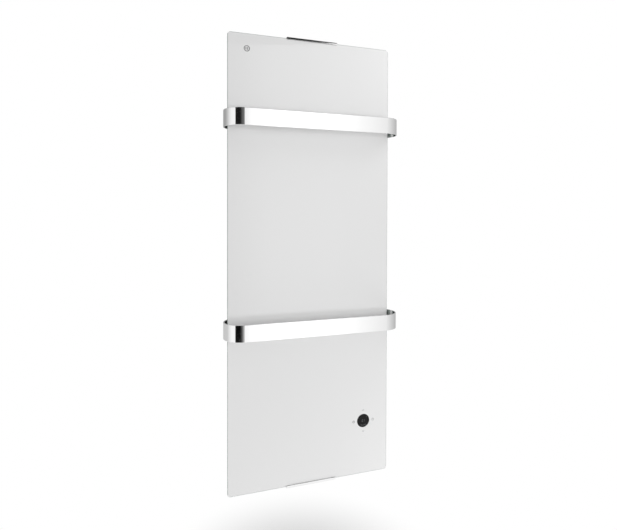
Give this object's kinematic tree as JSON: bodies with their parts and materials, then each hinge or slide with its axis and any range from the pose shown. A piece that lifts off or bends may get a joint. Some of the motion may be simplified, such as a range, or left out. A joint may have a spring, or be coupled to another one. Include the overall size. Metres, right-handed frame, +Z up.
{
  "type": "convector heater",
  "caption": "Wall-hung convector heater: white glass front with polished towel bars, touch display, louvred steel casing, finned elements, mains switch and hook-on wall plate.",
  "frame": {"origin": "on the wall, at the middle of the wall plate's four screw slots", "axes": "+X to the right seen from the front, +Y into the wall, +Z up"},
  "size_m": [0.402, 0.1272, 1.005],
  "materials": {
    "back_printed_glass": "polished toughened glass, white print on the back",
    "polished_steel": "mirror polished stainless steel strip",
    "white_powder_coat": "fine textured white powder coat",
    "galvanised_steel": "galvanised sheet steel",
    "zinc_plated_steel": "bright zinc plated screws and rivets",
    "black_lens": "smoked gloss display lens",
    "black_polyamide": "moulded black plastic",
    "grey_polyamide": "moulded grey plastic",
    "white_polyamide": "moulded white plastic",
    "silicone_rubber": "translucent grey silicone",
    "black_rubber": "black rubber",
    "extruded_aluminium": "plain extruded aluminium",
    "steel_sheath": "drawn steel tube sheath",
    "steatite": "pressed white ceramic",
    "board_laminate": "green circuit board",
    "capacitor_sleeve": "shrunk dark sleeve",
    "lead_sleeve": "silicone lead insulation"
  },
  "bodies": {
    "wall_mount": {"wall_plate": "galvanised_steel"},
    "heater": {"glass_panel": "back_printed_glass", "glass_bond_strips": "silicone_rubber", "top_glass_clip": "polished_steel", "bottom_glass_clip": "polished_steel", "clip_liners": "black_rubber", "clip_screws": "zinc_plated_steel", "display_lens": "black_lens", "touch_film": "grey_polyamide", "display_housing": "black_polyamide", "display_board": "board_laminate", "display_plug": "white_polyamide", "front_chassis": "galvanised_steel", "rear_casing": "white_powder_coat", "casing_screws": "zinc_plated_steel", "hanger_plates": "galvanised_steel", "hanger_rivets": "zinc_plated_steel", "wall_bumpers": "black_rubber", "upper_towel_bar": "polished_steel", "upper_bar_rail": "galvanised_steel", "lower_towel_bar": "polished_steel", "lower_bar_rail": "galvanised_steel", "bar_screws": "zinc_plated_steel", "bar_nuts": "zinc_plated_steel", "rail_screws": "zinc_plated_steel", "bar_grommets": "black_rubber", "upper_heating_profile": "extruded_aluminium", "upper_heating_rod": "steel_sheath", "lower_heating_profile": "extruded_aluminium", "lower_heating_rod": "steel_sheath", "element_bushes": "steatite", "element_tabs": "zinc_plated_steel", "left_element_bracket": "galvanised_steel", "right_element_bracket": "galvanised_steel", "bracket_screws": "zinc_plated_steel", "heat_shield": "extruded_aluminium", "shield_rivets": "zinc_plated_steel", "thermal_cutout": "steatite", "element_leads": "lead_sleeve", "sensor_holder": "white_polyamide", "room_sensor": "steel_sheath", "control_tray": "white_polyamide", "control_lid": "white_polyamide", "power_board": "board_laminate", "relay": "white_polyamide", "transformer": "steel_sheath", "capacitor": "capacitor_sleeve", "terminal_block": "grey_polyamide", "board_screws": "zinc_plated_steel", "tray_screws": "zinc_plated_steel", "switch_housing": "black_polyamide", "gland_body": "grey_polyamide", "gland_nut": "grey_polyamide", "gland_dome": "grey_polyamide"},
    "rocker": {"switch_rocker": "black_polyamide"}
  },
  "joints": [
    {"name": "lift_off", "type": "slide", "parent": "wall_mount", "child": "heater", "axis": [0, 0, 1], "range_m": [0, 0.012]},
    {"name": "switch_rock", "type": "hinge", "parent": "heater", "child": "rocker", "pos_m": [0.1605, -0.04, -0.535], "axis": [0, 1, 0], "range_deg": [-18, 0]}
  ]
}
